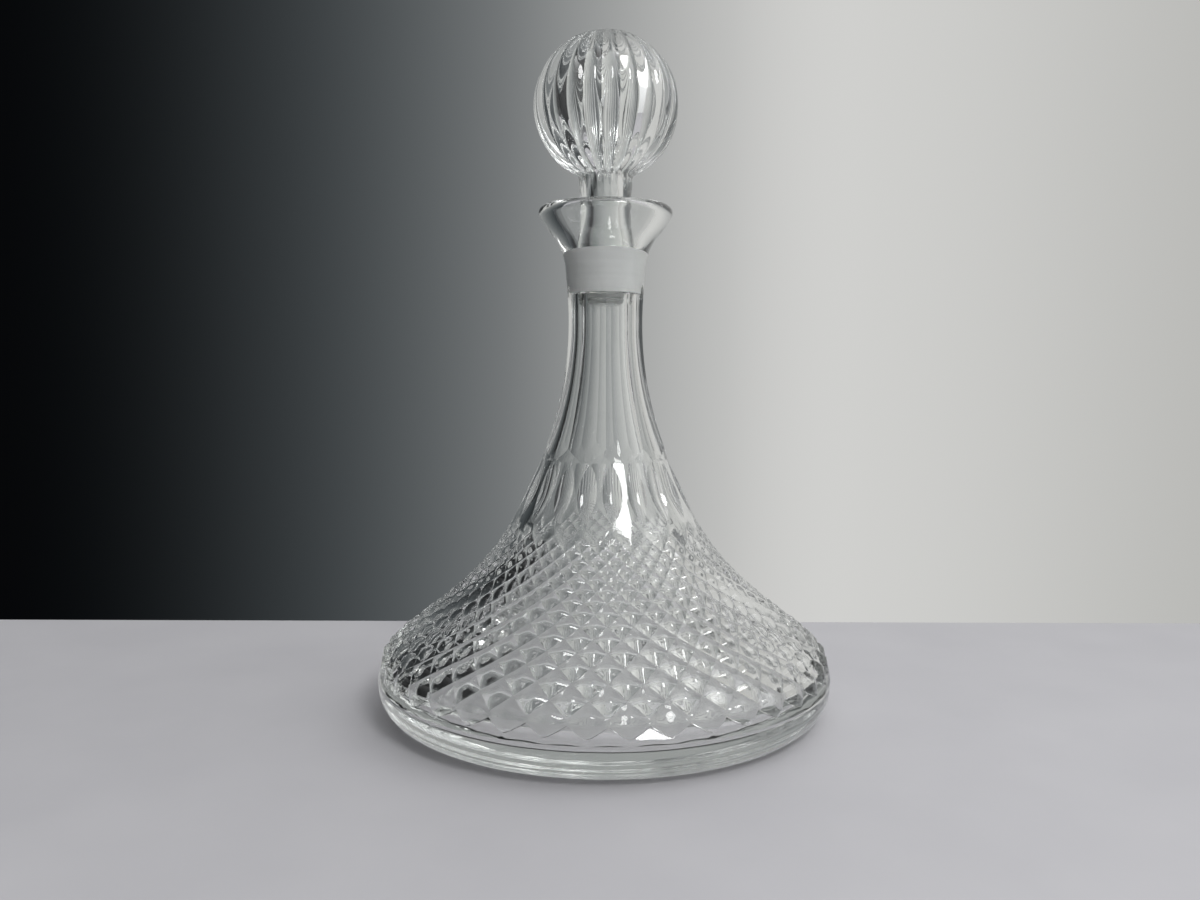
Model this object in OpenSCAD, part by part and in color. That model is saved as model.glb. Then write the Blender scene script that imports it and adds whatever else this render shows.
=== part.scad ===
// Ship's decanter in clear glass: a broad, low vessel cut with diamonds, a panelled neck
// with a funnel lip, and a ribbed ball stopper that seats in a ground taper.
// Z is up. The origin lies under the middle of the flat base, and the front is at -Y.

/* [Base] */
// Widest diameter of the vessel, over the plain band
base_diameter = 180; // [150:1:220]
// Radius that rounds the heel from the flat base up to the band
heel_radius = 12; // [8:0.5:16]
// Height at which the tips of the scalloped edge meet the plain band
band_height = 17; // [15:0.5:22]
// Thickness of the glass under the chamber
floor_thickness = 9; // [6:0.5:12]

/* [Shoulder] */
// Height at which the shoulder leaves the upright wall
shoulder_foot = 19.5; // [17:0.5:24]
// How far the shoulder keeps upright before it sweeps in
shoulder_pull_low = 12.4; // [8:0.2:16]
// Height at which the shoulder ends
shoulder_top = 86.3; // [80:0.5:95]
// Diameter of the shoulder at its upper end
shoulder_top_diameter = 62.2; // [56:0.2:72]
// How far the shoulder keeps the slope of its upper end
shoulder_pull_high = 43.9; // [36:0.5:50]
// Slope of the upper end, in radius lost for each mm of height
shoulder_slope = 0.425; // [0.3:0.005:0.6]
// Wall of the chamber, measured from the tips of the diamonds
chamber_wall = 6; // [5:0.25:9]

/* [Diamonds] */
// Diamonds round each row, a multiple of two
diamonds = 40; // [32:4:48]
// Full rows of diamonds, an odd number
diamond_rows = 15; // [11:2:17]
// Height of the tips of the lowest row
first_row_height = 23.7; // [22:0.1:28]
// Height at which the diamonds run out below the leaves
field_top = 76.2; // [72:0.2:80]
// Depth of the grooves as a share of the width of a diamond
groove_share = 0.2; // [0.1:0.01:0.25]
// Turn of the diamonds, leaves and panels from the front, in degrees
pattern_turn = 0.7; // [0:0.1:9]

/* [Leaf cuts] */
// Leaf cuts round the upper shoulder, half as many as the diamonds
leaves = 20; // [16:2:24]
// Height of the lower points of the leaves
leaf_foot = 75.2; // [72:0.2:80]
// Height of the upper points of the leaves
leaf_top = 98.6; // [94:0.2:100]
// Width of a leaf at its middle
leaf_width = 7.4; // [5:0.1:8.4]
// Depth of a leaf at its middle
leaf_depth = 1.25; // [0.6:0.05:1.8]

/* [Neck] */
// Flat panels round the neck
panels = 10; // [8:1:12]
// Width across the flats at the waist of the neck
neck_flats = 28.8; // [27:0.2:33]
// Height at which the panels end in their lower scallops
panel_foot = 100; // [96:0.5:106]
// Rise of the scallops from their lowest points to their cusps
scallop_rise = 4.4; // [2:0.2:6]
// Radius of the sweep that carries the panels out to the shoulder and to the lip
panel_sweep = 140; // [110:1:170]
// Height of the waist of the neck
waist_height = 153; // [148:0.5:158]
// Height at which the lip starts to flare
neck_top = 165.5; // [162:0.5:168]
// Diameter of the plain bore of the neck
bore_diameter = 20; // [16:0.2:20.4]

/* [Lip] */
// Diameter over the rolled rim of the funnel lip
lip_diameter = 52.6; // [46:0.2:60]
// Height of the top of the rim
rim_height = 198.2; // [192:0.2:206]
// Radius of the rolled rim
rim_roll = 3; // [2:0.1:3.4]

/* [Ground seat] */
// Height of the lower end of the ground taper
seat_foot = 164.5; // [162:0.5:168]
// Height of the upper end of the ground taper
seat_top = 182; // [178:0.5:184]
// Diameter of the taper at its lower end
seat_diameter_low = 20.8; // [20:0.1:22]
// Diameter of the taper at its upper end
seat_diameter_high = 23.1; // [22.2:0.1:24]
// Clearance between the taper and the plug, measured on the radius
seat_clearance = 0.15; // [0.1:0.05:0.3]

/* [Stopper] */
// Diameter of the ball over the crests of its ribs
ball_diameter = 56.4; // [50:0.2:64]
// Height of the middle of the ball
ball_height = 236.2; // [232:0.2:246]
// Ribs round the ball
ribs = 24; // [16:1:30]
// Depth of the grooves between the ribs at the middle of the ball
rib_depth = 1.8; // [0.5:0.1:2.4]
// Turn of the stopper in its seat from the front, in degrees
stopper_turn = -3.9; // [-7.5:0.1:7.5]
// Diameter of the stopper's neck at its waist
stopper_waist = 20; // [16:0.2:21]
// Diameter of the stopper's neck under the ball
stopper_collar = 21.4; // [18:0.2:24]
// Diameter of the clear tip below the ground plug
tip_diameter = 17.2; // [14:0.2:18]
// Length of the clear tip
tip_length = 4.6; // [3:0.2:7]

/* [Hidden] */
$fn = 96;
glass = [0.84, 0.90, 0.90];

base_r = base_diameter / 2;
half_angle = 180 / diamonds;
half_rad = half_angle * PI / 180;
columns = 2 * diamonds;

// Shoulder curve, a cubic from the upright wall to the upper end
curve_0 = [base_r, shoulder_foot];
curve_1 = [base_r, shoulder_foot + shoulder_pull_low];
curve_3 = [shoulder_top_diameter / 2, shoulder_top];
curve_2 = curve_3 + [shoulder_slope, -1] * shoulder_pull_high;

function cubic(a, b, c, d, t) =
    pow(1 - t, 3) * a + 3 * t * pow(1 - t, 2) * b + 3 * t * t * (1 - t) * c + pow(t, 3) * d;
function cubic_rate(a, b, c, d, t) =
    3 * pow(1 - t, 2) * (b - a) + 6 * t * (1 - t) * (c - b) + 3 * t * t * (d - c);
function shoulder(t) = cubic(curve_0, curve_1, curve_2, curve_3, t);
function shoulder_rate(t) = cubic_rate(curve_0, curve_1, curve_2, curve_3, t);
// Unit normal of the shoulder, pointing out of the glass
function shoulder_normal(t) =
    let (v = shoulder_rate(t))
    [v[1], -v[0]] / norm(v);

// Rows are spaced so that every diamond keeps the same shape as the shoulder narrows
steps = 160;
function growth(t) = norm(shoulder_rate(t)) / shoulder(t)[0];
function travel_list(k, sum) =
    k > steps
        ? []
        : concat([sum], travel_list(k + 1, sum + growth((k + 0.5) / steps) / steps));
travel = travel_list(0, 0);
travel_to_t = [for (k = [0:steps]) [travel[k], k / steps]];
t_to_travel = [for (k = [0:steps]) [k / steps, travel[k]]];
height_to_t = [for (k = [0:steps]) [shoulder(k / steps)[1], k / steps]];
travel_first = lookup(lookup(first_row_height, height_to_t), t_to_travel);
travel_last = lookup(lookup(field_top, height_to_t), t_to_travel);
last_ring = diamond_rows + 1;
function ring_t(i) =
    lookup(travel_first + (travel_last - travel_first) * i / last_ring, travel_to_t);

function groove_depth(t) = groove_share * 2 * half_rad * shoulder(t)[0];
function tip_point(t) = shoulder(t);
function groove_point(t) = shoulder(t) - groove_depth(t) * shoulder_normal(t);
// The top row stands only below the leaves, so its upper grooves close between them
function is_tip(i, c) =
    i == last_ring
        ? true
        : i == diamond_rows
            ? c % 4 != 1
            : (c + i) % 2 == 1;
function ring_point(i, c) = is_tip(i, c) ? tip_point(ring_t(i)) : groove_point(ring_t(i));
function around(p, angle) = [p[0] * sin(angle), -p[0] * cos(angle), p[1]];
function column_angle(c) = pattern_turn + c * half_angle;

// Panel line of the neck, measured at the middle of a flat
neck_r = neck_flats / 2;
corner = 1 / cos(180 / panels);
function panel_line(z) =
    neck_r + panel_sweep - sqrt(pow(panel_sweep, 2) - pow(waist_height - z, 2));

// Ledge under the panels, whose line runs through the lowest points and the cusps of the scallops
panel_exit = [panel_line(panel_foot), panel_foot];
panel_cusp = [panel_line(panel_foot + scallop_rise) * corner, panel_foot + scallop_rise];
function ledge(share) = panel_exit + share * (panel_cusp - panel_exit);

// Funnel lip, tangent to its rolled rim outside and inside
lip_r = lip_diameter / 2;
rim_centre = [lip_r - rim_roll, rim_height - rim_roll];
outer_way = [sin(27), cos(27)];
inner_way = [sin(33), cos(33)];
lip_outer_end = rim_centre + rim_roll * [outer_way[1], -outer_way[0]];
lip_inner_end = rim_centre + rim_roll * [-inner_way[1], inner_way[0]];
blank_neck_r = neck_r * corner + 0.35;
seat_high_r = seat_diameter_high / 2;
seat_low_r = seat_diameter_low / 2;
lip_height = lip_outer_end[1] - neck_top;
function lip_outer(t) =
    cubic([blank_neck_r, neck_top + 0.08 * lip_height], [blank_neck_r, neck_top + 0.72 * lip_height],
        lip_outer_end - 0.34 * lip_height * outer_way, lip_outer_end, t);
function lip_inner(t) =
    cubic([seat_high_r, seat_top], [seat_high_r + 0.4, seat_top + 0.28 * (rim_height - seat_top)],
        lip_inner_end - 0.55 * (rim_height - seat_top) * inner_way, lip_inner_end, t);

// Stopper: the grooves of the ball end just outside its collar, and the neck is waisted between
// the plug and the ball
ball_r = ball_diameter / 2;
collar_r = stopper_collar / 2;
ball_low = -acos((collar_r + 1.2) / (ball_r - rib_depth));
ball_foot = ball_height + ball_r * sin(ball_low);
plug_low_r = seat_low_r - seat_clearance;
plug_high_r = seat_high_r - seat_clearance;
stopper_waist_r = stopper_waist / 2;
stopper_waist_z = (seat_top + ball_foot) / 2;
stopper_half = stopper_waist_z - seat_top;
function neck_lower(t) =
    cubic([plug_high_r, seat_top + 0.4], [plug_high_r - 0.4, seat_top + 0.3 * stopper_half],
        [stopper_waist_r, seat_top + 0.4 * stopper_half], [stopper_waist_r, stopper_waist_z], t);
function neck_upper(t) =
    cubic([stopper_waist_r, stopper_waist_z], [stopper_waist_r, stopper_waist_z + 0.5 * stopper_half],
        [collar_r - 0.3, ball_foot - 0.3 * stopper_half], [collar_r, ball_foot - 0.8], t);

// Plain band and rounded heel, with an upper edge that slopes in under the diamonds
module heel_band() {
    rotate_extrude()
    union() {
        polygon([
            [0, 0],
            [base_r - heel_radius, 0],
            [base_r - heel_radius, heel_radius],
            [base_r, heel_radius],
            [base_r, band_height - 2.2],
            [base_r - 1.2, band_height],
            [base_r - 3.7, band_height + 3],
            [base_r - 7.5, band_height + 5.5],
            [0, band_height + 5.5]
        ]);
        translate([base_r - heel_radius, heel_radius])
        circle(r = heel_radius);
    }
}

// Field of raised diamonds: each ring alternates tips and groove crossings
module diamond_field() {
    foot_z = band_height - 4.5;
    foot_tip = [base_r - 1, foot_z];
    foot_groove = foot_tip - [groove_depth(ring_t(0)), 0];
    cap = tip_point(ring_t(last_ring)) + [-5, 1.6];
    rings = concat(
        [[for (c = [0:columns - 1]) around(c % 2 == 1 ? foot_tip : foot_groove, column_angle(c))]],
        [for (i = [0:last_ring])
            [for (c = [0:columns - 1]) around(ring_point(i, c), column_angle(c))]],
        [[for (c = [0:columns - 1]) around(cap, column_angle(c))]]
    );
    points = [for (ring = rings) for (p = ring) p];
    last = len(rings) - 1;
    // Each cell is split along its groove, from groove crossing to groove crossing
    sides = [
        for (j = [0:last - 1])
            for (c = [0:columns - 1])
                let (
                    a = j * columns + c,
                    b = j * columns + (c + 1) % columns,
                    d = a + columns,
                    e = b + columns,
                    rising = (c + j) % 2 == 1
                )
                for (f = rising ? [[a, d, e], [a, e, b]] : [[a, d, b], [b, d, e]]) f
    ];
    bottom = [for (c = [0:columns - 1]) c];
    top = [for (c = [0:columns - 1]) last * columns + columns - 1 - c];
    polyhedron(points = points, faces = concat([bottom], sides, [top]), convexity = 6);
}

// Upper shoulder, neck and lip before cutting
module neck_blank() {
    t_field = ring_t(last_ring);
    start = tip_point(t_field) - [0.12, 0];
    rotate_extrude()
    union() {
        polygon(concat(
            [[0, start[1] - 2.4], start - [3, 2.4], start],
            [for (k = [1:6]) shoulder(t_field + (1 - t_field) * k / 6)],
            [ledge(-0.2), ledge(1.9), [blank_neck_r + 1, waist_height]],
            [for (k = [0:14]) lip_outer(k / 14)],
            [rim_centre, lip_inner_end, [0, lip_inner_end[1]]]
        ));
        translate(rim_centre)
        circle(r = rim_roll);
    }
}

// One leaf cut: a barrel laid along the shoulder, cutting pointed ends and a hollow middle
module leaf_cut() {
    low = shoulder(lookup(leaf_foot, height_to_t));
    ledge_foot = ledge(-0.2);
    top_share = (leaf_top - shoulder_top) / (ledge_foot[1] - shoulder_top);
    high = curve_3 + (ledge_foot - curve_3) * top_share;
    span = norm(high - low);
    middle = (low + high) / 2;
    lean = atan2(low[0] - high[0], high[1] - low[1]);
    middle_r = lookup(middle[1], [for (k = [0:steps]) [shoulder(k / steps)[1], shoulder(k / steps)[0]]]);
    bow = (middle[0] - middle_r) * cos(lean) + leaf_depth;
    barrel_r = (leaf_width * leaf_width / 4 + leaf_depth * leaf_depth) / (2 * leaf_depth);
    long_r = (span * span / 4 + bow * bow) / (2 * bow);
    translate([middle[0], 0, middle[1]])
    rotate([0, -lean, 0])
    translate([barrel_r - bow, 0, 0])
    rotate_extrude()
    intersection() {
        translate([barrel_r - long_r, 0])
        circle(r = long_r, $fn = 180);
        translate([0, -0.56 * span])
        square([barrel_r + 1, 1.07 * span]);
    }
}

// One panel cut: a flat swept along the neck, which runs out below the flare of the lip
module panel_cut() {
    wide = 44;
    reach = 30;
    low = panel_foot - 25;
    high = neck_top + 0.35 * (rim_height - neck_top);
    intersection() {
        translate([neck_r + panel_sweep, 0, waist_height])
        rotate([90, 0, 0])
        cylinder(r = panel_sweep, h = wide, center = true, $fn = 180);
        translate([neck_r - 1, -wide / 2, low])
        cube([reach, wide, high - low]);
    }
}

// Upper shoulder with its leaves, and the neck with its panels
module cut_neck() {
    difference() {
        difference() {
            neck_blank();
            for (k = [0:leaves - 1])
                rotate([0, 0, column_angle(1) - 90 + k * 360 / leaves])
                leaf_cut();
        }
        for (k = [0:panels - 1])
            rotate([0, 0, pattern_turn - 90 + (k + 0.5) * 360 / panels])
            panel_cut();
    }
}

// Space inside the glass: chamber, bore, ground taper and funnel
module chamber() {
    bore_r = bore_diameter / 2;
    inner_r = base_r - chamber_wall;
    inner_corner = 10;
    neck_wall = neck_r - bore_r;
    rotate_extrude()
    union() {
        polygon(concat(
            [
                [0, floor_thickness],
                [inner_r - inner_corner, floor_thickness],
                [inner_r - inner_corner, floor_thickness + inner_corner]
            ],
            [for (k = [0:14]) shoulder(k / 14) - chamber_wall * shoulder_normal(k / 14)],
            [for (z = [panel_foot - 4:6.5:waist_height - 10]) [panel_line(z) - neck_wall, z]],
            [
                [bore_r, waist_height - 6],
                [bore_r, seat_foot - 0.6],
                [seat_low_r, seat_foot],
                [seat_high_r, seat_top]
            ],
            [for (k = [1:10]) lip_inner(k / 10)],
            [
                [lip_inner_end[0], rim_height + 5],
                [0, rim_height + 5]
            ]
        ));
        translate([inner_r - inner_corner, floor_thickness + inner_corner])
        circle(r = inner_corner);
    }
}

// Vessel in one piece of glass
module decanter_body() {
    color(glass)
    difference() {
        union() {
            heel_band();
            diamond_field();
            cut_neck();
        }
        chamber();
    }
}

// Ribbed ball: round ribs with a sharp groove between them, running out above the collar and
// dying out at the top
module ribbed_ball() {
    across = 6;
    count = ribs * across;
    high = 85;
    bands = 18;
    points = [
        for (i = [0:bands])
            let (latitude = ball_low + (high - ball_low) * i / bands)
            for (c = [0:count - 1])
                let (
                    hollow = i == 0 ? 1 : 1 - abs(sin(180 * c / across)),
                    r = (ball_r - rib_depth * hollow) * cos(latitude),
                    angle = stopper_turn + c * 360 / count
                )
                [r * sin(angle), -r * cos(angle), ball_height + ball_r * sin(latitude)]
    ];
    sides = [
        for (i = [0:bands - 1])
            for (c = [0:count - 1])
                let (
                    a = i * count + c,
                    b = i * count + (c + 1) % count,
                    d = a + count,
                    e = b + count
                )
                for (f = [[a, d, e], [a, e, b]]) f
    ];
    bottom = [for (c = [0:count - 1]) c];
    top = [for (c = [0:count - 1]) bands * count + count - 1 - c];
    polyhedron(points = points, faces = concat([bottom], sides, [top]), convexity = 4);
}

// Ground plug, shoulder and waisted neck of the stopper
module plug_and_neck() {
    tip_r = tip_diameter / 2;
    tip_z = seat_foot - tip_length;
    rotate_extrude()
    polygon(concat(
        [
            [0, tip_z],
            [tip_r - 2.2, tip_z],
            [tip_r - 0.7, tip_z + 0.6],
            [tip_r, tip_z + 2],
            [tip_r + 0.2, seat_foot - 0.9],
            [plug_low_r, seat_foot + 0.3],
            [plug_high_r, seat_top]
        ],
        [for (k = [0:8]) neck_lower(k / 8)],
        [for (k = [1:6]) neck_upper(k / 6)],
        [
            [collar_r, ball_foot + 4],
            [0, ball_foot + 4]
        ]
    ));
}

// Stopper in one piece of glass
module stopper() {
    color(glass)
    union() {
        plug_and_neck();
        ribbed_ball();
    }
}

decanter_body();
stopper();
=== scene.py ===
# %% [markdown]
# # A ship's decanter in clear glass
# The decanter is two pieces of glass: a broad vessel and a ribbed ball stopper.
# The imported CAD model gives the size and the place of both, and this lesson makes the fine glass
# surfaces that stand for them. Glass shows every facet twice, once in front and once through the
# wall, so each piece here is a closed skin with clean edges, and the stopper has a second one for
# the hollow inside it.

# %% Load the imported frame
import math
import bmesh
import bpy
import numpy as np
from mathutils import Matrix, Vector


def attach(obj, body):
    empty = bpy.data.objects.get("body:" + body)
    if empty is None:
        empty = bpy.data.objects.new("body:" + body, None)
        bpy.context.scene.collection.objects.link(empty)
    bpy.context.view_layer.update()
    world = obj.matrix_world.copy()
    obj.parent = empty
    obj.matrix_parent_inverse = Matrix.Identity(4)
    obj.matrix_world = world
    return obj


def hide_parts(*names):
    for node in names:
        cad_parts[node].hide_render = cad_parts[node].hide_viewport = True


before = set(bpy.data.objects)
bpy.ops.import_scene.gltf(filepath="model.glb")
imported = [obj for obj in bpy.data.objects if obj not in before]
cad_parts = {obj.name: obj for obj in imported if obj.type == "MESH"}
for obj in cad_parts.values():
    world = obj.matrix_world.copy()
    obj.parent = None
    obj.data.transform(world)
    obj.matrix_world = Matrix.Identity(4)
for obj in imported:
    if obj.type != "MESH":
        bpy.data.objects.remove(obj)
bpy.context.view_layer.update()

# %% [markdown]
# ## Sizes
# All shapes are drawn in millimetres, because that is how a glass mould is drawn, and each finished
# mesh is scaled to metres at the end. The values are those of the CAD source, apart from a few finer
# forms that only these surfaces have. One turn of the vessel has 320 columns: 8 for each of 40
# diamonds, 16 for each of 20 leaves and 32 for each of 10 neck panels, so that every cut meets a
# column.

# %% Sizes shared by the pieces
MM = 0.001
TURN = math.radians(0.7)            # turn of the whole pattern from the front
COLUMNS = 320
COLUMN = 2 * math.pi / COLUMNS      # angle of one column
BASE_R, HEEL_R, BAND_TOP = 89.96, 12.0, 14.8
FLOOR, WALL = 9.0, 6.0


def around(r, z, angle):
    """A point at radius r and height z, turned from the front (-Y) towards +X."""
    return Vector((r * math.sin(angle), -r * math.cos(angle), z))


def cubic(a, b, c, d, t):
    """A point on a Bezier curve of radius and height."""
    s = 1 - t
    return s**3 * a + 3 * s * s * t * b + 3 * s * t * t * c + t**3 * d


print("one column is", round(BASE_R * COLUMN, 2), "mm wide at the base")

# %% [markdown]
# ## The shoulder's line
# The shoulder leaves the upright wall and sweeps in to the neck on one curve. The diamonds keep
# their shape all the way up, so each row is as much lower as it is narrower: the rows are spaced
# evenly in the sum of length over radius.

# %% Shoulder curve and the rows of diamonds
SHOULDER = [Vector((BASE_R, 19.5)), Vector((BASE_R, 31.9)), Vector((49.76, 42.4)), Vector((31.1, 86.3))]
TOP_ROW = 16
HALF = math.radians(4.5)            # half the angle of a diamond
steps = np.linspace(0, 1, 401)
line = np.array([cubic(*SHOULDER, t) for t in steps])
lengths = np.linalg.norm(np.diff(line, axis=0), axis=1)
travel = np.concatenate([[0], np.cumsum(lengths / (line[1:, 0] + line[:-1, 0]) * 2)])
first_row, last_row = np.interp([23.7, 76.2], line[:, 1], travel)


def shoulder(t):
    """Point and outward direction on the shoulder."""
    way = (cubic(*SHOULDER, t + 0.001) - cubic(*SHOULDER, t - 0.001)).normalized()
    return cubic(*SHOULDER, t), Vector((way.y, -way.x))


def row_t(row):
    """Place of a row of diamonds on the shoulder's curve."""
    return float(np.interp(first_row + (last_row - first_row) * row / TOP_ROW, travel, steps))


print("rows of diamonds at", [round(shoulder(row_t(i))[0].y, 1) for i in range(0, 17, 4)], "mm")

# %% [markdown]
# ## The diamond belt, drawn flat
# On the real vessel the mould has a net of slanting V grooves, and what stands between them is a
# field of blunt pyramids. Modelling 600 pyramids round a curved shoulder one by one would be hard.
# Instead a flat grid is drawn with one unit for each column and row, its tips are lifted, the cells
# are split along the grooves, and only then is the sheet wrapped round the shoulder.
# The lowest row has no lower neighbours: its diamonds run down like shields to a scalloped edge.

# %% Flat sheet of pyramids
belt = bmesh.new()
bmesh.ops.create_grid(belt, x_segments=80, y_segments=19, size=0.5)
to_units = Matrix.Translation((40, 6.5, 0)) @ Matrix.Diagonal((80, 19, 1, 1))    # rows -3 to 16
bmesh.ops.transform(belt, matrix=to_units, verts=belt.verts)


def in_groove(column, row):
    """Whether a corner of the sheet lies in a groove; the others are tips."""
    if row < 0:
        return column % 2 == 0
    if row == TOP_ROW:
        return False
    if row == TOP_ROW - 1:
        return column % 4 == 1      # the top row stands only below the leaves
    return (column + row) % 2 == 0


crossings = []
for v in belt.verts:
    column, row = round(v.co.x), round(v.co.y)
    groove = in_groove(column, row)
    v.co.z = 0 if groove else 1
    if groove and row >= 0:
        crossings.append(v)
bmesh.ops.connect_verts(belt, verts=crossings)
bmesh.ops.subdivide_edges(belt, edges=belt.edges[:], cuts=3, use_grid_fill=True)
print("belt sheet:", len(belt.verts), "vertices,", len(belt.faces), "faces")

# %% [markdown]
# ## The belt, wrapped
# Each vertex of the sheet now holds its column, its row and its height between groove and tip. The
# tips are blunt, the facets bulge a little and the grooves are filled, as fire polishing leaves them,
# which gives each diamond its small round glint. The shields of the lowest row keep a slightly
# raised rim, and below them the sheet becomes the plain band.

# %% Wrap the sheet round the shoulder
GROOVE = 0.2 * 2 * HALF             # groove depth as a share of the radius
BLUNT, FILLED, BULGE = 0.9, 0.06, 0.4   # height of tips and grooves, swelling of the facets
STEP = 0.6                          # how far the lowest diamonds stand out from the band
RIM = Vector((0.3, 0.3))            # how far their rim is raised
EDGE_LOW, EDGE_RISE = 16.6, 3.3     # scalloped edge: its lowest height and its rise to the grooves
ROUND_IN, ROUND_POWER = 0.4275, 1.309   # rounding of the band's upper edge


def belt_line(row, height):
    """Radius and height of a point on the diamonds."""
    t = row_t(row)
    point, out = shoulder(t)
    soft = height
    if row < TOP_ROW - 1.99:
        soft = min(height * (1 + BULGE * (1 - height)), BLUNT)
    return point - GROOVE * point.x * (1 - max(soft, FILLED)) * out


def band_line(z):
    """The band's upper edge, rounded in under the diamonds."""
    return Vector((BASE_R - ROUND_IN * max(z - BAND_TOP, 0) ** ROUND_POWER, z))


for v in belt.verts:
    column, row, height = v.co
    foot = band_line(EDGE_LOW + EDGE_RISE * (1 - height) ** 1.25)
    edge = foot + Vector((STEP, 0.4))
    if row >= 0:
        p = belt_line(row, height)
    elif row >= -1:
        p = edge.lerp(belt_line(0, height), (row + 1) ** 1.7)
        if row == -0.75:
            p += RIM
    elif row >= -2:
        p = foot.lerp(edge, row + 2)
    else:
        p = band_line(BAND_TOP + (foot.y - BAND_TOP) * (row + 3))
    v.co = around(p.x, p.y, TURN + column * HALF)
print("belt wrapped to", round(max(v.co.z for v in belt.verts), 1), "mm high")

# %% [markdown]
# ## Leaves round the upper shoulder
# Between the diamonds and the neck run 20 leaf cuts, each a shallow hollow with a pointed foot and
# a rounder head. A cutter wheel or a mould leaves a crisp edge there. A boolean would give slivers,
# so the grid's own columns are moved on to the leaf's edge in every row, and the cells that the edge
# crosses are split along it.

# %% Lines of the neck, for leaves and panels
NECK_R, SWEEP, WAIST = 14.4, 140.0, 153.0
PANEL_FOOT, SCALLOP = 100.0, 4.4
PANEL_HALF = math.radians(18)


def panel_line(z):
    """Distance of a panel's middle from the axis."""
    return NECK_R + SWEEP - math.sqrt(SWEEP**2 - (WAIST - z) ** 2)


def panel_turn(column):
    """Angle from the middle of the panel that this column lies in."""
    return ((column % 32) - 16) * COLUMN


def scallop(column):
    """Height at which a panel starts: lowest at its middle, with cusps at its edges."""
    share = (1 / math.cos(panel_turn(column)) - 1) / (1 / math.cos(PANEL_HALF) - 1)
    return PANEL_FOOT + SCALLOP * share


exit_point = Vector((panel_line(PANEL_FOOT), PANEL_FOOT))
cusp_point = Vector((panel_line(PANEL_FOOT + SCALLOP) / math.cos(PANEL_HALF), PANEL_FOOT + SCALLOP))
ledge_low = exit_point.lerp(cusp_point, -0.2)
ledge_high = exit_point.lerp(cusp_point, 1.9)
RIM_R, RIM_HEIGHT, RIM_ROLL = 26.3, 198.2, 3.0
LEAN_OUT, LEAN_IN = math.radians(27), math.radians(33)     # lean of the lip, outside and inside
rim_centre = Vector((RIM_R - RIM_ROLL, RIM_HEIGHT - RIM_ROLL))
way_out = Vector((math.sin(LEAN_OUT), math.cos(LEAN_OUT)))
way_in = Vector((math.sin(LEAN_IN), math.cos(LEAN_IN)))
outer_end = rim_centre + RIM_ROLL * Vector((way_out.y, -way_out.x))
inner_end = rim_centre + RIM_ROLL * Vector((-way_in.y, way_in.x))
BLANK_R = NECK_R / math.cos(PANEL_HALF) + 0.35
LIP_FOOT = 165.5
lip_tall = outer_end.y - LIP_FOOT
lip_curve = [Vector((BLANK_R, LIP_FOOT + 0.08 * lip_tall)), Vector((BLANK_R, LIP_FOOT + 0.72 * lip_tall)),
             outer_end - 0.34 * lip_tall * way_out, outer_end]
lip_outer = [cubic(*lip_curve, k / 24) for k in range(25)]
upper = [shoulder(row_t(TOP_ROW))[0]] + [p for p in line if p[1] > 76.3]
upper += [ledge_low, ledge_high, Vector((BLANK_R + 1, WAIST))] + lip_outer
upper_r = [p[0] for p in upper]
upper_z = [p[1] for p in upper]


def blank(z):
    """Radius of the uncut glass above the diamonds."""
    return float(np.interp(z, upper_z, upper_r))


print("ledge at", [round(v, 2) for v in (*ledge_low, *ledge_high)])
print("lip ends at", [round(v, 2) for v in outer_end])

# %% Upper shoulder with leaves
LEAF_FOOT, LEAF_TOP, LEAF_HALF, LEAF_DEPTH = 76.3, 98.6, 3.7, 1.6
LEAF_ROUND = 0.7                    # makes the head rounder than the foot
LEAF_ROWS, LEDGE_ROWS = 29, 3
FIELD_TOP = shoulder(row_t(TOP_ROW))[0].y
leaf_sheet = bmesh.new()
bmesh.ops.create_grid(leaf_sheet, x_segments=COLUMNS, y_segments=LEAF_ROWS + LEDGE_ROWS, size=0.5)
leaf_edge = []
for v in leaf_sheet.verts:
    column = round((v.co.x + 0.5) * COLUMNS)
    row = round((v.co.y + 0.5) * (LEAF_ROWS + LEDGE_ROWS))
    if row <= LEAF_ROWS:
        z = FIELD_TOP + (ledge_low.y - FIELD_TOP) * row / LEAF_ROWS
    else:
        z = ledge_low.y + (scallop(column) - ledge_low.y) * (row - LEAF_ROWS) / LEDGE_ROWS
    r = blank(z)
    side = (column + 4) % 16 - 8            # columns from the middle of the nearest leaf
    share = (z - LEAF_FOOT) / (LEAF_TOP - LEAF_FOOT)
    half = 0
    if 0 < share < 1:
        half = LEAF_HALF * math.sin(math.pi * share) ** (1 if share < 0.5 else LEAF_ROUND)
    wide = half / r                         # half the leaf's width as an angle
    edge = round(wide / COLUMN)
    turn = side * COLUMN
    if edge > 0:
        if abs(side) == edge:
            leaf_edge.append(v)
        if abs(side) <= edge:
            turn = wide * side / edge
            slope = (blank(z + 0.2) - blank(z - 0.2)) / 0.4
            out = Vector((1, -slope)).normalized()
            hollow = LEAF_DEPTH * (half / LEAF_HALF) ** 2 * (1 - (side / edge) ** 2)
            r, z = r - hollow * out.x, z - hollow * out.y
        else:
            turn = math.copysign(wide + (8 * COLUMN - wide) * (abs(side) - edge) / (8 - edge), side)
    v.co = around(r, z, TURN + (column - side) * COLUMN + turn)
bmesh.ops.connect_verts(leaf_sheet, verts=leaf_edge)
print("leaf sheet:", len(leaf_sheet.faces), "faces,", len(leaf_edge), "vertices on leaf edges")

# %% [markdown]
# ## Panels of the neck
# The neck has ten flats, each swept outwards to the shoulder and to the lip on a large radius. At
# any height a flat is a straight line, so its radius is that of its middle over the cosine of the
# turn. The rows follow the scalloped foot of the panels and then straighten towards the lip, where
# the flats die away in the round glass.

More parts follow.
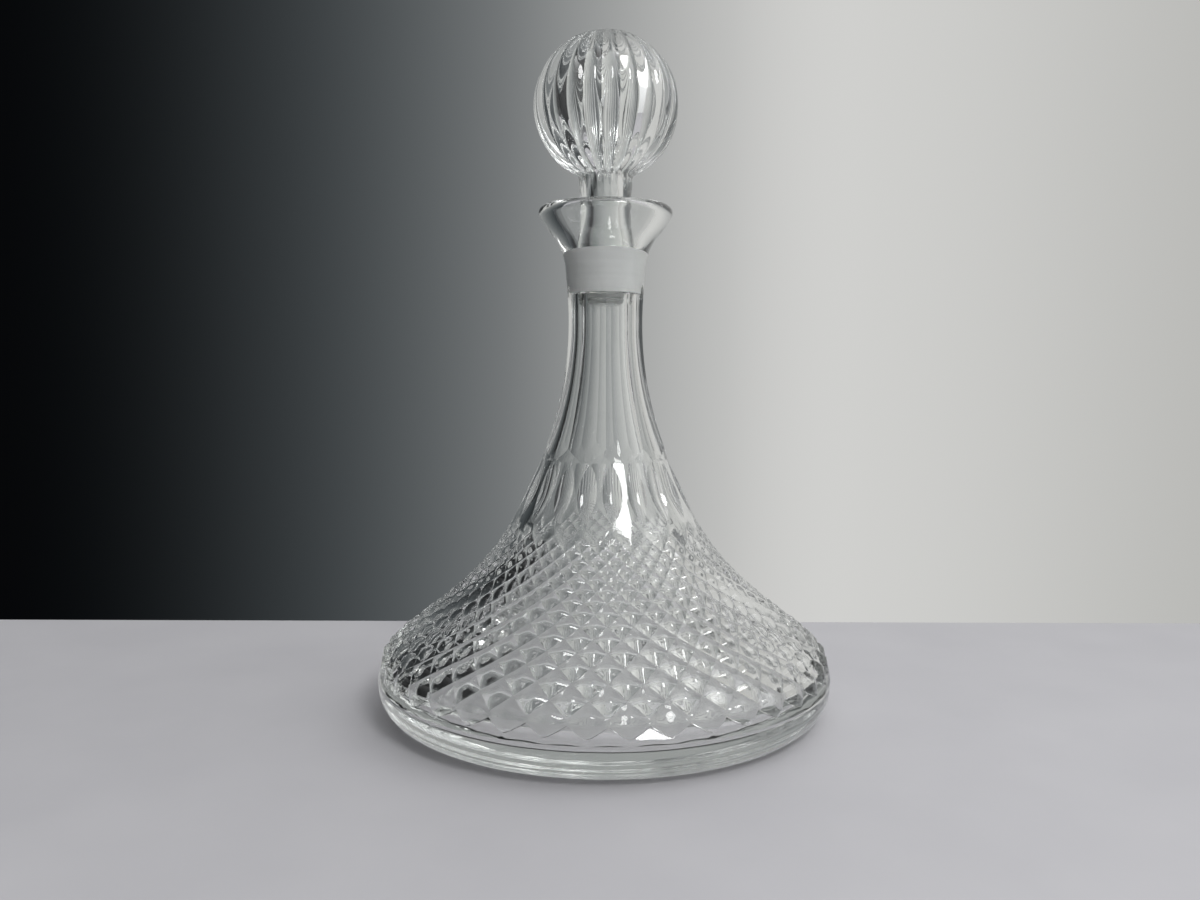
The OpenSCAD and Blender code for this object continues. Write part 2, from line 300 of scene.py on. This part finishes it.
# %% Neck with ten panels
PANEL_END = 176.9
NECK_ROWS = 34
neck_sheet = bmesh.new()
bmesh.ops.create_grid(neck_sheet, x_segments=COLUMNS, y_segments=NECK_ROWS, size=0.5)
for v in neck_sheet.verts:
    column = round((v.co.x + 0.5) * COLUMNS)
    row = round((v.co.y + 0.5) * NECK_ROWS)
    z = scallop(column) + (PANEL_END - scallop(column)) * row / NECK_ROWS
    flat = panel_line(z) / math.cos(panel_turn(column))
    r = blank(z) if row == 0 else min(blank(z), flat)
    v.co = around(r, z, TURN + column * COLUMN)
print("neck sheet:", len(neck_sheet.faces), "faces")

# %% [markdown]
# ## Base, inside and lip
# The rest of the vessel is plain round glass, made by spinning two lines round the axis: the base
# with its rounded heel, and the inside from the floor up through the bore and the ground seat, over
# the rolled rim and down the outside of the lip. The spin has as many steps as the sheets have
# columns, so all edges meet point to point.

# %% Lines to spin
BORE_R, SEAT_LOW, SEAT_HIGH = 10.0, Vector((10.4, 164.5)), Vector((11.55, 182.0))


def arc(centre, radius, start, end, count):
    """Points on a circle, angles in degrees from the outward direction."""
    turns = [math.radians(start + (end - start) * k / count) for k in range(count + 1)]
    return [centre + radius * Vector((math.cos(a), math.sin(a))) for a in turns]


heel = [Vector((0, 0)), Vector((40, 0))] + arc(Vector((BASE_R - HEEL_R, HEEL_R)), HEEL_R, -90, 0, 14)
heel += [Vector((BASE_R, BAND_TOP))]

inside = [Vector((0, FLOOR)), Vector((40, FLOOR))]
inside += arc(Vector((BASE_R - WALL - 10, FLOOR + 10)), 10, -90, 0, 9)
inside += [p - WALL * out for p, out in (shoulder(k / 20) for k in range(21))]
neck_heights = np.arange(PANEL_FOOT - 4, WAIST - 9, 6.5)
inside += [Vector((panel_line(z) - NECK_R + BORE_R, z)) for z in neck_heights]
inside += [Vector((BORE_R, WAIST - 6)), Vector((BORE_R, SEAT_LOW.y - 0.6))]
inside += [SEAT_LOW.lerp(SEAT_HIGH, k / 5) for k in range(6)]
funnel_tall = RIM_HEIGHT - SEAT_HIGH.y
funnel = [SEAT_HIGH, SEAT_HIGH + Vector((0.4, 0.28 * funnel_tall)),
          inner_end - 0.55 * funnel_tall * way_in, inner_end]
inside += [cubic(*funnel, k / 10) for k in range(1, 11)]
inside += arc(rim_centre, RIM_ROLL, 147, -27, 20)[1:]
inside += [Vector((blank(z), z)) for z in np.linspace(outer_end.y, PANEL_END, 11)[1:]]
print("lines to spin:", len(heel), "and", len(inside), "points")

# %% Spin the round glass
def spin_line(points, columns):
    """A bmesh of a line of radius and height, spun once round Z."""
    bm = bmesh.new()
    verts = [bm.verts.new(around(p.x, p.y, TURN)) for p in points]
    edges = [bm.edges.new(pair) for pair in zip(verts, verts[1:])]
    bmesh.ops.spin(bm, geom=verts + edges, cent=(0, 0, 0), axis=(0, 0, 1), angle=2 * math.pi,
                   steps=columns, use_merge=True)
    return bm


round_glass = [spin_line(heel, COLUMNS), spin_line(inside, COLUMNS)]
print("spun:", [len(bm.faces) for bm in round_glass], "faces")

# %% [markdown]
# ## One skin of glass
# A renderer follows light from one face of the glass to the next, so each piece must be a closed
# skin: a gap or a doubled face would show as a black seam. All sheets go into one mesh, the doubles
# merge, the normals are worked out again, and edges that fold sharply are kept crisp while
# everything else is shaded smooth. A hollow inside the glass is a skin of its own whose faces are
# turned round, so that they point out of the glass and into the air.

# %% Helpers that close a skin and make the object
def close_skin(name, sheets):
    """Joins sheets into one closed bmesh with its faces outwards."""
    whole = bmesh.new()
    for sheet in sheets:
        part = bpy.data.meshes.new(name + "_sheet")
        sheet.to_mesh(part)
        sheet.free()
        whole.from_mesh(part)
        bpy.data.meshes.remove(part)
    bmesh.ops.remove_doubles(whole, verts=whole.verts, dist=0.02)
    bmesh.ops.dissolve_degenerate(whole, edges=whole.edges, dist=0.001)
    bmesh.ops.recalc_face_normals(whole, faces=whole.faces)
    return whole


def glass_piece(name, sheets, body, node, materials, ground, crisp):
    """Makes a piece of glass in metres; ground(radius, height) picks the ground faces.

    An edge that folds by more than crisp(height) degrees stays sharp.
    """
    whole = close_skin(name, sheets)
    for f in whole.faces:
        middle = f.calc_center_median()
        f.smooth = True
        f.material_index = 1 if ground(math.hypot(middle.x, middle.y), middle.z) else 0
    for e in whole.edges:
        e.smooth = e.calc_face_angle(0) < math.radians(crisp(e.verts[0].co.z))
    open_edges = sum(1 for e in whole.edges if len(e.link_faces) != 2)
    bmesh.ops.scale(whole, vec=(MM, MM, MM), verts=whole.verts)
    mesh = bpy.data.meshes.new(name)
    whole.to_mesh(mesh)
    triangles = sum(len(p.vertices) - 2 for p in mesh.polygons)
    print(name, len(mesh.vertices), "vertices,", triangles, "triangles,", open_edges, "open edges,",
          round(whole.calc_volume() * 1e6, 1), "cm3")
    whole.free()
    piece = bpy.data.objects.new(name, mesh)
    bpy.context.scene.collection.objects.link(piece)
    for material in materials:
        mesh.materials.append(material)
    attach(piece, body)
    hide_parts(node)
    return piece


def add_hollow(piece, sheet):
    """Gives a piece an inner skin that points into the hollow."""
    inner = close_skin(piece.name, [sheet])
    bmesh.ops.reverse_faces(inner, faces=inner.faces[:])
    for f in inner.faces:
        f.smooth = True
    bmesh.ops.scale(inner, vec=(MM, MM, MM), verts=inner.verts)
    inner.from_mesh(piece.data)
    inner.to_mesh(piece.data)
    open_edges = sum(1 for e in inner.edges if len(e.link_faces) != 2)
    print(piece.name, "with its hollow:", open_edges, "open edges,",
          round(inner.calc_volume() * 1e6, 1), "cm3 of glass")
    inner.free()


# %% [markdown]
# ## Glass, clear and ground
# The vessel is pressed soda glass that was fire polished: melted smooth again at the surface. It is
# almost clear, with a faint grey-green where the light goes a long way, and its skin keeps slow
# ripples about a centimetre wide that bend what lies behind it.
# The seat in the neck and the plug were ground together with wet grit to seal, so they are white
# and matt: the light that goes through is scattered by pits much finer than a millimetre.

# %% Colour and node helpers
def linear(code):
    """A colour such as #808080, from sRGB to the linear values that shaders use."""
    parts = [int(code[k:k + 2], 16) / 255 for k in (1, 3, 5)]
    return [c / 12.92 if c <= 0.04045 else ((c + 0.055) / 1.055) ** 2.4 for c in parts] + [1]


def add(tree, kind, inputs=(), **settings):
    """Adds a node; inputs are pairs of a socket's name and a value or another node's output."""
    node = tree.nodes.new(kind)
    for key, value in settings.items():
        setattr(node, key, value)
    for key, value in inputs:
        if isinstance(value, bpy.types.NodeSocket):
            tree.links.new(value, node.inputs[key])
        else:
            node.inputs[key].default_value = value
    return node


def new_material(name):
    """An empty material and its node tree."""
    material = bpy.data.materials.new(name)
    material.use_nodes = True
    material.node_tree.nodes.clear()
    return material, material.node_tree


print("mid grey is", [round(c, 3) for c in linear("#808080")])

# %% Clear fire-polished glass
# Gives the eye bright crisp edges, slow ripples in what shows through, and a faint cool depth.
clear_glass, tree = new_material("clear_fire_polished_glass")
place = add(tree, "ShaderNodeTexCoord").outputs["Object"]
ripple = add(tree, "ShaderNodeTexNoise", [("Vector", place), ("Scale", 1 / (11 * MM)), ("Detail", 1.0)])
bent = add(tree, "ShaderNodeBump", [
    ("Height", ripple.outputs["Fac"]), ("Strength", 0.35), ("Distance", 0.12 * MM)])
wiped = add(tree, "ShaderNodeTexNoise", [("Vector", place), ("Scale", 1 / (23 * MM)), ("Detail", 3.0)])
haze = add(tree, "ShaderNodeMapRange", [
    ("Value", wiped.outputs["Fac"]), ("From Min", 0.45), ("From Max", 0.75),
    ("To Min", 0.0), ("To Max", 0.015)])
shader = add(tree, "ShaderNodeBsdfPrincipled", [
    ("Base Color", linear("#FCFDFC")), ("Roughness", haze.outputs["Result"]), ("IOR", 1.52),
    ("Transmission Weight", 1.0), ("Normal", bent.outputs["Normal"])])
depth = add(tree, "ShaderNodeVolumeAbsorption", [("Color", linear("#E6EAE7")), ("Density", 4.0)])
add(tree, "ShaderNodeOutputMaterial", [
    ("Surface", shader.outputs["BSDF"]), ("Volume", depth.outputs["Volume"])])
print("made", clear_glass.name)

# %% Ground glass
# Gives the eye a soft white band with faint rings, because the grit turned in the taper.
# The pits are about 0.05 mm; they are drawn at 0.6 mm, as coarse as they need to be to show.
ground_glass, tree = new_material("ground_glass")
place = add(tree, "ShaderNodeTexCoord").outputs["Object"]
rings = add(tree, "ShaderNodeMapping", [("Vector", place), ("Scale", (0.05, 0.05, 1.0))])
turned = add(tree, "ShaderNodeTexNoise", [
    ("Vector", rings.outputs["Vector"]), ("Scale", 1 / (1.6 * MM)), ("Detail", 2.0)])
grit = add(tree, "ShaderNodeTexNoise", [("Vector", place), ("Scale", 1 / (0.6 * MM)), ("Detail", 2.0)])
pits = add(tree, "ShaderNodeBump", [
    ("Height", grit.outputs["Fac"]), ("Strength", 0.5), ("Distance", 0.08 * MM)])
matt = add(tree, "ShaderNodeMapRange", [
    ("Value", turned.outputs["Fac"]), ("To Min", 0.5), ("To Max", 0.75)])
white = add(tree, "ShaderNodeValToRGB", [("Fac", turned.outputs["Fac"])])
white.color_ramp.elements[0].color = linear("#EEF0EE")
white.color_ramp.elements[1].color = linear("#FBFCFB")
shader = add(tree, "ShaderNodeBsdfPrincipled", [
    ("Base Color", white.outputs["Color"]), ("Roughness", matt.outputs["Result"]), ("IOR", 1.52),
    ("Transmission Weight", 0.08), ("Normal", pits.outputs["Normal"])])
depth = add(tree, "ShaderNodeVolumeAbsorption", [("Color", linear("#E6EAE7")), ("Density", 4.0)])
add(tree, "ShaderNodeOutputMaterial", [
    ("Surface", shader.outputs["BSDF"]), ("Volume", depth.outputs["Volume"])])
print("made", ground_glass.name)

# %% The vessel
BELT_FOLD, CUT_FOLD = 46, 11        # degrees: only grooves stay sharp in the belt, else every cut
glass_piece(
    "vessel_glass", [belt, leaf_sheet, neck_sheet, *round_glass],
    "vessel", "decanter_body", [clear_glass, ground_glass],
    ground=lambda r, z: r < 11.9 and SEAT_LOW.y < z < SEAT_HIGH.y,
    crisp=lambda z: BELT_FOLD if 15 < z < 75 else CUT_FOLD)

# %% [markdown]
# ## The stopper
# Outside, the stopper is a plug with a clear tip, a waisted neck and a ball with 24 round ribs, as a
# mould with as many hollow segments would press it. The whole line is spun first, with sixteen
# columns to a rib, and then the ball's columns are moved in to make the grooves. That keeps the
# ball, its neck and the plug one skin. The grooves grow shallow towards the top, and run out below
# in the neck.

# %% Stopper line, spun
BALL_R, BALL_Z, RIBS, RIB_DEPTH, RIB_FADE = 28.2, 236.2, 24, 1.8, 22.0
STOPPER_TURN = math.radians(-3.9)
WAIST_R, COLLAR_R = 10.0, 10.7
PLUG_LOW, PLUG_HIGH = Vector((10.25, 164.8)), Vector((11.4, 182.0))
TIP_R, TIP_Z = 8.6, 159.9
BALL_LOW = -math.acos((COLLAR_R + 0.3) / (BALL_R - RIB_DEPTH))
BALL_FOOT = BALL_Z + BALL_R * math.sin(BALL_LOW)
waist_z = (PLUG_HIGH.y + BALL_FOOT) / 2
half_neck = waist_z - PLUG_HIGH.y
plug = [Vector((0, TIP_Z)), Vector((3, TIP_Z)), Vector((TIP_R - 2.2, TIP_Z))]
plug += arc(Vector((TIP_R - 1.8, TIP_Z + 1.9)), 1.8, -75, 0, 5)
plug += [Vector((TIP_R + 0.2, 163.6)), Vector((TIP_R + 0.5, 164.1))]
plug += [PLUG_LOW.lerp(PLUG_HIGH, k / 8) for k in range(9)]
waist = Vector((WAIST_R, waist_z))
lower_neck = [PLUG_HIGH + Vector((0, 0.4)), PLUG_HIGH + Vector((-0.4, 0.3 * half_neck)),
              Vector((WAIST_R, PLUG_HIGH.y + 0.4 * half_neck)), waist]
upper_neck = [waist, waist + Vector((0, 0.5 * half_neck)),
              Vector((COLLAR_R - 0.3, BALL_FOOT - 0.3 * half_neck)), Vector((COLLAR_R, BALL_FOOT - 0.8))]
plug += [cubic(*lower_neck, k / 12) for k in range(13)]
plug += [cubic(*upper_neck, k / 10) for k in range(1, 11)]
latitudes = np.linspace(BALL_LOW, math.radians(85), 64)
ball = [Vector((BALL_R * math.cos(a), BALL_Z + BALL_R * math.sin(a))) for a in latitudes]
top = [Vector((0, ball[-1].y))]
stopper_sheet = spin_line(plug + ball + top, RIBS * 16)
for v in stopper_sheet.verts:
    turn = math.atan2(v.co.x, -v.co.y) - TURN
    r = math.hypot(v.co.x, v.co.y)
    groove = 1 - abs(math.sin(RIBS / 2 * turn))
    if v.co.z > BALL_FOOT - 0.01:
        r -= RIB_DEPTH * min(r / RIB_FADE, 1) * groove
    elif v.co.z > waist_z:
        r -= 0.4 * ((v.co.z - waist_z) / half_neck) ** 2 * groove
    v.co = around(r, v.co.z, STOPPER_TURN + turn)
print("stopper line:", len(plug + ball + top), "points, ball foot at", round(BALL_FOOT, 1), "mm")

# %% [markdown]
# ## The hollow of the stopper
# A solid ball of glass turns round what stands behind it, so in front of this board its left side
# came out bright. The ball to be matched is dark there, and in trials a hollow one was too: the skin
# of the air inside throws the light back like a mirror where it is met at a low angle. So a hollow
# is assumed: a round bubble that narrows to a bore in the neck, widens again in the plug and is
# closed at the foot.

# %% The stopper with its hollow
BUBBLE_R, BORE_IN = 21.2, 4.8
bubble = arc(Vector((0, BALL_Z)), BUBBLE_R, 88, -50, 39)
narrowing = [bubble[-1], bubble[-1] + Vector((-5.7, -4.8)),
             Vector((BORE_IN, 212)), Vector((BORE_IN, 205))]
widening = [Vector((BORE_IN, 201)), Vector((BORE_IN, 193)), Vector((6.4, 190)), Vector((6.6, 183))]
hollow = [Vector((0, bubble[0].y))] + bubble
hollow += [cubic(*narrowing, k / 12) for k in range(1, 13)]
hollow += [cubic(*widening, k / 12) for k in range(13)]
hollow += arc(Vector((0, 172.5)), 6.3, 0, -85, 9) + [Vector((0, 166.2))]
stopper = glass_piece(
    "stopper_glass", [stopper_sheet], "stopper", "stopper", [clear_glass, ground_glass],
    ground=lambda r, z: r > 9.5 and PLUG_LOW.y < z < PLUG_HIGH.y,
    crisp=lambda z: 40)
add_hollow(stopper, spin_line(hollow, 144))

# %% [markdown]
# ## Floor and backdrop
# Clear glass has no colour of its own: it shows what stands round it. The stage is a plain pale
# floor and a plain board close behind the decanter, dark on the left and pale on the right, which
# draws the edges of the glass in black and white. The board's colour is seen as it is written by
# the camera and through the glass. From behind it is clear, so that the decanter can be seen from
# all sides. Lamp light hardly finds its way through the facets to the floor below, so the floor as
# seen through the glass is in part its plain colour.

# %% Pale floor
def stage_sheet(name, size, place, material):
    """A flat rectangle of the stage, its size in metres."""
    bm = bmesh.new()
    shape = place @ Matrix.Diagonal((*size, 1, 1))
    bmesh.ops.create_grid(bm, x_segments=1, y_segments=1, size=0.5, matrix=shape)
    mesh = bpy.data.meshes.new(name)
    bm.to_mesh(mesh)
    bm.free()
    mesh.materials.append(material)
    sheet = bpy.data.objects.new(name, mesh)
    bpy.context.scene.collection.objects.link(sheet)


pale_floor, tree = new_material("pale_painted_board")
place = add(tree, "ShaderNodeTexCoord").outputs["Object"]
brush = add(tree, "ShaderNodeTexNoise", [("Vector", place), ("Scale", 1 / (60 * MM)), ("Detail", 6.0)])
tone = add(tree, "ShaderNodeValToRGB", [("Fac", brush.outputs["Fac"])])
tone.color_ramp.elements[0].color = linear("#AAA9AD")
tone.color_ramp.elements[1].color = linear("#B6B5B8")
matt = add(tree, "ShaderNodeBsdfPrincipled", [("Base Color", tone.outputs["Color"]), ("Roughness", 0.7)])
shown = add(tree, "ShaderNodeEmission", [("Color", tone.outputs["Color"]), ("Strength", 1.15)])
path = add(tree, "ShaderNodeLightPath")
by_glass = [(0, path.outputs["Is Transmission Ray"]), (1, path.outputs["Is Glossy Ray"])]
seen = add(tree, "ShaderNodeMath", by_glass, operation="MAXIMUM")
part = add(tree, "ShaderNodeMath", [(0, seen.outputs[0]), (1, 0.6)], operation="MULTIPLY")
both = add(tree, "ShaderNodeMixShader", [
    (0, part.outputs[0]), (1, matt.outputs["BSDF"]), (2, shown.outputs["Emission"])])
add(tree, "ShaderNodeOutputMaterial", [("Surface", both.outputs["Shader"])])
stage_sheet("floor", (3.0, 3.0), Matrix.Translation((0, 0, -0.3 * MM)), pale_floor)
print("floor laid")

# %% Graded backdrop
BOARD_Y = 125 * MM
board, tree = new_material("graded_backdrop")
place = add(tree, "ShaderNodeTexCoord").outputs["Object"]
across = add(tree, "ShaderNodeSeparateXYZ", [("Vector", place)])
share = add(tree, "ShaderNodeMapRange", [
    ("Value", across.outputs["X"]), ("From Min", -0.32), ("From Max", 0.32)])
grade = add(tree, "ShaderNodeValToRGB", [("Fac", share.outputs["Result"])])
grade.color_ramp.interpolation = "B_SPLINE"
grade.color_ramp.elements[0].color = linear("#040405")
grade.color_ramp.elements[1].color = linear("#B4B4B1")
for position, code in ((0.2, "#111416"), (0.42, "#5E6467"), (0.6, "#C9C9C7"), (0.72, "#D6D6D4")):
    grade.color_ramp.elements.new(position).color = linear(code)
path = add(tree, "ShaderNodeLightPath")
by_glass = [(0, path.outputs["Is Transmission Ray"]), (1, path.outputs["Is Glossy Ray"])]
glass = add(tree, "ShaderNodeMath", by_glass, operation="MAXIMUM")
by_all = [(0, path.outputs["Is Camera Ray"]), (1, glass.outputs[0])]
seen = add(tree, "ShaderNodeMath", by_all, operation="MAXIMUM")
facing = add(tree, "ShaderNodeNewGeometry")
from_front = [(0, seen.outputs[0]), (1, facing.outputs["Backfacing"])]
front = add(tree, "ShaderNodeMath", from_front, operation="SUBTRACT", use_clamp=True)
shown = add(tree, "ShaderNodeEmission", [("Color", grade.outputs["Color"])])
clear = add(tree, "ShaderNodeBsdfTransparent")
both = add(tree, "ShaderNodeMixShader", [
    (0, front.outputs[0]), (1, clear.outputs["BSDF"]), (2, shown.outputs["Emission"])])
add(tree, "ShaderNodeOutputMaterial", [("Surface", both.outputs["Shader"])])
upright = Matrix.Translation((0, BOARD_Y, 0.79)) @ Matrix.Rotation(math.radians(90), 4, "X")
stage_sheet("backdrop", (2.4, 1.6), upright, board)
print("backdrop stands", round(BOARD_Y / MM), "mm behind the axis")

# %% [markdown]
# ## Light
# Most of the light is the room's own, soft and even. A large weak lamp above and to the right gives
# the shadow its side, and a smaller one right of the camera gives the leaves and diamonds their
# glints. The room is brighter above and darker on the left, like the board, so that the reflections
# on the left side of the glass stay deep.

# %% Room and lamps
world = bpy.data.worlds.new("studio_room")
bpy.context.scene.world = world
world.use_nodes = True
tree = world.node_tree
tree.nodes.clear()
way = add(tree, "ShaderNodeTexCoord").outputs["Generated"]
across = add(tree, "ShaderNodeSeparateXYZ", [("Vector", way)])
side = add(tree, "ShaderNodeMapRange", [
    ("Value", across.outputs["X"]), ("From Min", -0.85), ("From Max", 0.3),
    ("To Min", 0.05), ("To Max", 1.0)], interpolation_type="SMOOTHSTEP")
rise = add(tree, "ShaderNodeMapRange", [
    ("Value", across.outputs["Z"]), ("From Min", -0.1), ("From Max", 0.8),
    ("To Min", 0.8), ("To Max", 1.3)])
level = add(tree, "ShaderNodeMath", [
    (0, side.outputs["Result"]), (1, rise.outputs["Result"])], operation="MULTIPLY")
lit = add(tree, "ShaderNodeBackground", [("Color", linear("#F4F5F6")), ("Strength", level.outputs[0])])
add(tree, "ShaderNodeOutputWorld", [("Surface", lit.outputs["Background"])])


def lamp(name, place, aim, size, power):
    """A round lamp in metres and watts, turned towards a point."""
    light = bpy.data.lights.new(name, "AREA")
    light.shape = "DISK"
    light.size = size
    light.energy = power
    holder = bpy.data.objects.new(name, light)
    holder.location = place
    holder.rotation_euler = (Vector(aim) - Vector(place)).to_track_quat("-Z", "Y").to_euler()
    bpy.context.scene.collection.objects.link(holder)


lamp("key_lamp", (0.6, -0.05, 0.85), (0, 0, 0.08), 0.7, 1.5)
lamp("front_lamp", (0.34, -0.64, 0.76), (0, 0, 0.12), 0.3, 3.4)

# %% [markdown]
# ## Camera and light paths
# The camera stands 40 cm in front of the axis and looks down a little, as worked out from the base's
# ellipse and the rows of diamonds. Light crosses up to eight glass surfaces before it leaves the
# vessel, so the paths may be longer than Blender's default.

# %% Camera
SENSOR = 36                         # mm
FOCAL, FRAME = 1002, 1200           # focal length and width of the frame, in its pixels
scene = bpy.context.scene
scene.view_settings.view_transform = "Standard"
scene.cycles.max_bounces = 32
scene.cycles.transmission_bounces = 32
scene.cycles.glossy_bounces = 12
camera = bpy.data.objects.new("camera", bpy.data.cameras.new("camera"))
camera.data.sensor_width = SENSOR
camera.data.lens = SENSOR * FOCAL / FRAME
camera.location = (-1.94 * MM, -400 * MM, 136.2 * MM)
tilt = Matrix.Rotation(math.radians(90 - 4.86), 3, "X")
roll = Matrix.Rotation(math.radians(0.18), 3, "Z")
camera.rotation_euler = (tilt @ roll).to_euler()
camera.data.clip_start = 0.01
scene.collection.objects.link(camera)
scene.camera = camera
print("lens", round(camera.data.lens, 2), "mm")
